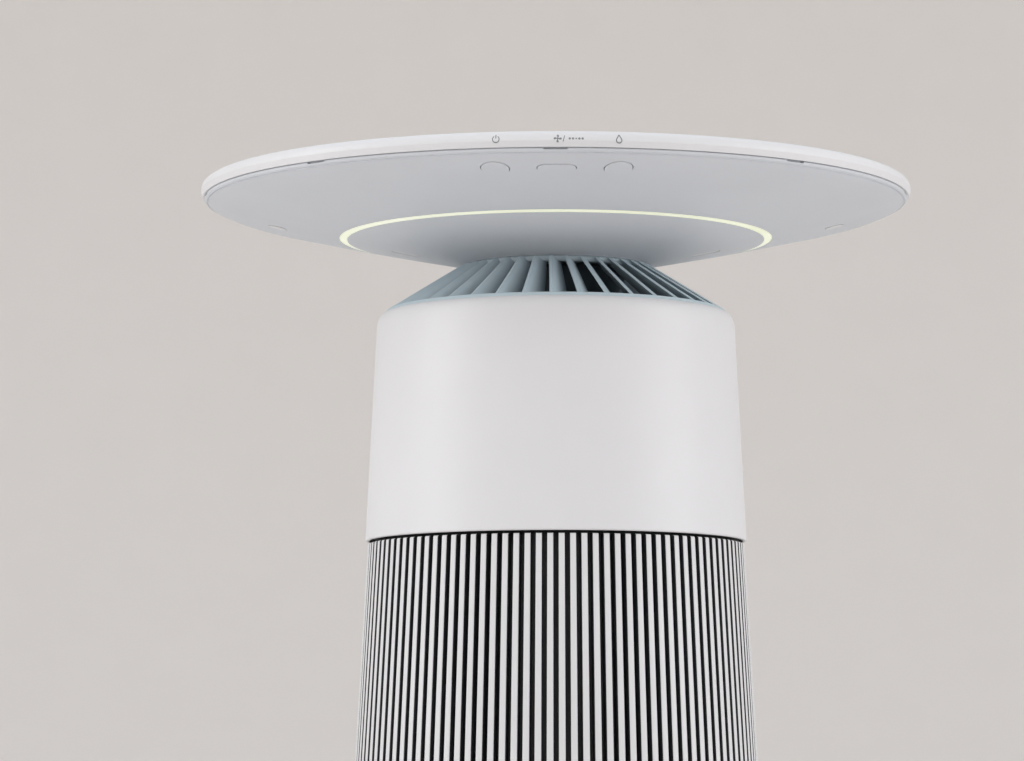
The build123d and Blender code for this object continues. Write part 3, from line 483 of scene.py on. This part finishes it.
def rim_radius(height):
    """Radius of the rim's outer face at a height."""
    straight = RIM_CURVE[-1][1]
    if height <= straight:
        return DISC_RADIUS - RIM_LEAN * (straight - height) / (straight - TOP_LOW.z)
    low, high = 0.0, 1.0
    for _ in range(30):
        share = (low + high) / 2
        weights = ((1 - share) ** 3, 3 * share * (1 - share) ** 2, 3 * share**2 * (1 - share), share**3)
        place = [sum(w * point[axis] for w, point in zip(weights, RIM_CURVE)) for axis in (0, 1)]
        if place[1] > height:
            low = share
        else:
            high = share
    return place[0]


def on_rim(across, up, lift):
    """Point of the rim's front face, from millimetres across and up from the sign line."""
    height = SIGN_HEIGHT + up * MM
    reach = min(rim_radius(height) + lift, DISC_RADIUS - RIM_MARGIN)
    angle = -pi / 2 + across * MM / DISC_RADIUS
    return (reach * cos(angle), reach * sin(angle), height)


def print_shape(made, outline):
    """Thin print from a closed flat outline."""
    stack(made, [
        [on_rim(across, up, -PRINT_DEPTH) for across, up in outline],
        [on_rim(across, up, PRINT_LIFT) for across, up in outline],
    ])


def print_bar(made, start, stop, width):
    """Straight printed bar that runs a little past both points."""
    (x0, y0), (x1, y1) = start, stop
    length = sqrt((x1 - x0) ** 2 + (y1 - y0) ** 2)
    along = ((x1 - x0) / length, (y1 - y0) / length)
    side = (-along[1] * width / 2, along[0] * width / 2)
    end = (along[0] * width / 4, along[1] * width / 4)
    print_shape(made, [
        (x0 - end[0] - side[0], y0 - end[1] - side[1]),
        (x1 + end[0] - side[0], y1 + end[1] - side[1]),
        (x1 + end[0] + side[0], y1 + end[1] + side[1]),
        (x0 - end[0] + side[0], y0 - end[1] + side[1]),
    ])


def print_line(made, points, width, closed=False):
    """Thin printed line, made of short overlapping bars."""
    pairs = list(zip(points[:-1], points[1:]))
    if closed:
        pairs.append((points[-1], points[0]))
    for (x0, y0), (x1, y1) in pairs:
        count = ceil(sqrt((x1 - x0) ** 2 + (y1 - y0) ** 2) / BAR_LENGTH)
        stops = [(x0 + (x1 - x0) * i / count, y0 + (y1 - y0) * i / count) for i in range(count + 1)]
        for start, stop in zip(stops[:-1], stops[1:]):
            print_bar(made, start, stop, width)


def arc_points(centre, radius, first, last, steps=20):
    """Points round an arc, angles in degrees."""
    return [
        (
            centre[0] + radius * cos(radians(first + (last - first) * step / steps)),
            centre[1] + radius * sin(radians(first + (last - first) * step / steps)),
        )
        for step in range(steps + 1)
    ]


def print_dot(made, centre, radius):
    """Round printed dot."""
    print_shape(made, arc_points(centre, radius, 0, 345, 23))


def finish_sign(name, made):
    """Sign as a piece of its own on the housing."""
    piece_from(name, made, "print_grey", "housing")


def power_sign():
    """Broken circle with a bar."""
    made = bmesh.new()
    width = 0.55
    print_line(made, arc_points((POWER_ACROSS, 0), 2.2, 125, 415), width)
    print_line(made, [(POWER_ACROSS, 0.6), (POWER_ACROSS, 2.9)], width)
    finish_sign("sign_power", made)


def fan_sign():
    """Four-bladed fan, a stroke and five dots for the speeds."""
    made = bmesh.new()
    # one blade, as angle in degrees and reach
    blade = ((-22, 0.5), (-30, 1.5), (-18, 2.4), (4, 2.7), (18, 2.2), (14, 1.2), (20, 0.5))
    for quarter in range(4):
        outline = []
        for angle, reach in blade:
            aim = radians(quarter * 90) + radians(angle)
            outline.append((FAN_ACROSS + reach * cos(aim), reach * sin(aim)))
        print_shape(made, outline)
    print_dot(made, (FAN_ACROSS, 0), 0.6)
    print_line(made, [(4.9, -1.9), (5.9, 1.9)], 0.5)
    for index, radius in enumerate(DOT_RADII):
        print_dot(made, (DOTS_ACROSS + index * DOT_SPACING, 0), radius)
    finish_sign("sign_fan", made)


def lamp_sign():
    """Outline of a drop."""
    made = bmesh.new()
    outline = [(DROP_ACROSS, 2.9)]
    outline += arc_points((DROP_ACROSS, -0.7), 1.8, 40, -220, 24)
    print_line(made, outline, 0.6, closed=True)
    finish_sign("sign_lamp", made)


power_sign()
fan_sign()
lamp_sign()


# ---- Camera ----

camera_data = bpy.data.cameras.new("camera")
camera_data.sensor_width = 36.0
camera_data.lens = CAMERA_LENS
camera_data.clip_end = 50.0
camera = bpy.data.objects.new("camera", camera_data)
camera.location = CAMERA_PLACE
camera.rotation_euler = (radians(90 + CAMERA_TILT), 0, radians(CAMERA_TURN))
bpy.context.scene.collection.objects.link(camera)
bpy.context.scene.camera = camera


# ---- Stage and light ----

def area_light(name, place, target, size, power, colour):
    """Soft rectangular light aimed at a point."""
    data = bpy.data.lights.new(name, "AREA")
    data.shape = "RECTANGLE"
    data.size, data.size_y = size
    data.energy = power
    data.color = colour
    light = bpy.data.objects.new(name, data)
    light.location = place
    light.rotation_euler = (Vector(target) - Vector(place)).to_track_quat("-Z", "Y").to_euler()
    bpy.context.scene.collection.objects.link(light)


def sweep_stage():
    """Pale floor that curves up into a backdrop, all round."""
    mesh = bpy.data.meshes.new("stage")
    made = bmesh.new()
    profile = [(0.0, 0.0), (STAGE_FLAT, 0.0)]
    for step in range(1, STAGE_BEND_STEPS + 1):
        angle = step / STAGE_BEND_STEPS * pi / 2
        profile.append((STAGE_BEND_START + STAGE_BEND * sin(angle), STAGE_BEND * (1 - cos(angle))))
    profile.append((STAGE_BEND_START + STAGE_BEND, STAGE_TOP))
    rings = []
    for radius, height in profile:
        if radius == 0.0:
            rings.append([made.verts.new((0, 0, 0))])
            continue
        angles = [tau * i / STAGE_SEGMENTS for i in range(STAGE_SEGMENTS)]
        rings.append([made.verts.new((radius * cos(angle), radius * sin(angle), height)) for angle in angles])
    for low, high in zip(rings[:-1], rings[1:]):
        for i in range(STAGE_SEGMENTS):
            j = (i + 1) % STAGE_SEGMENTS
            if len(low) == 1:
                made.faces.new((low[0], high[i], high[j]))
            else:
                made.faces.new((low[i], high[i], high[j], low[j]))
    made.to_mesh(mesh)
    made.free()
    for polygon in mesh.polygons:
        polygon.use_smooth = True
    stage = bpy.data.objects.new("stage", mesh)
    bpy.context.scene.collection.objects.link(stage)
    paper = plastic("stage_paper", (0.84, 0.80, 0.765), 0.8, grain=120.0, relief=0.03, wear=0.006)
    mesh.materials.append(paper)


sweep_stage()

world = bpy.data.worlds.new("world")
world.use_nodes = True
background = world.node_tree.nodes["Background"]
background.inputs["Color"].default_value = (0.91, 0.95, 1.0, 1)
background.inputs["Strength"].default_value = 0.88
bpy.context.scene.world = world
bpy.context.scene.view_settings.view_transform = "Standard"
area_light("left", (-3.2, -0.9, 1.7), (0, 0, 0.45), (2.0, 2.4), 36, (0.98, 0.99, 1.0))
area_light("right", (3.2, -0.9, 1.5), (0, 0, 0.45), (2.0, 2.4), 33, (0.97, 0.98, 1.0))
area_light("front", (-0.6, -3.0, 2.4), (0, 0, 0.4), (2.4, 1.6), 9, (1.0, 1.0, 1.0))

bpy.context.view_layer.update()
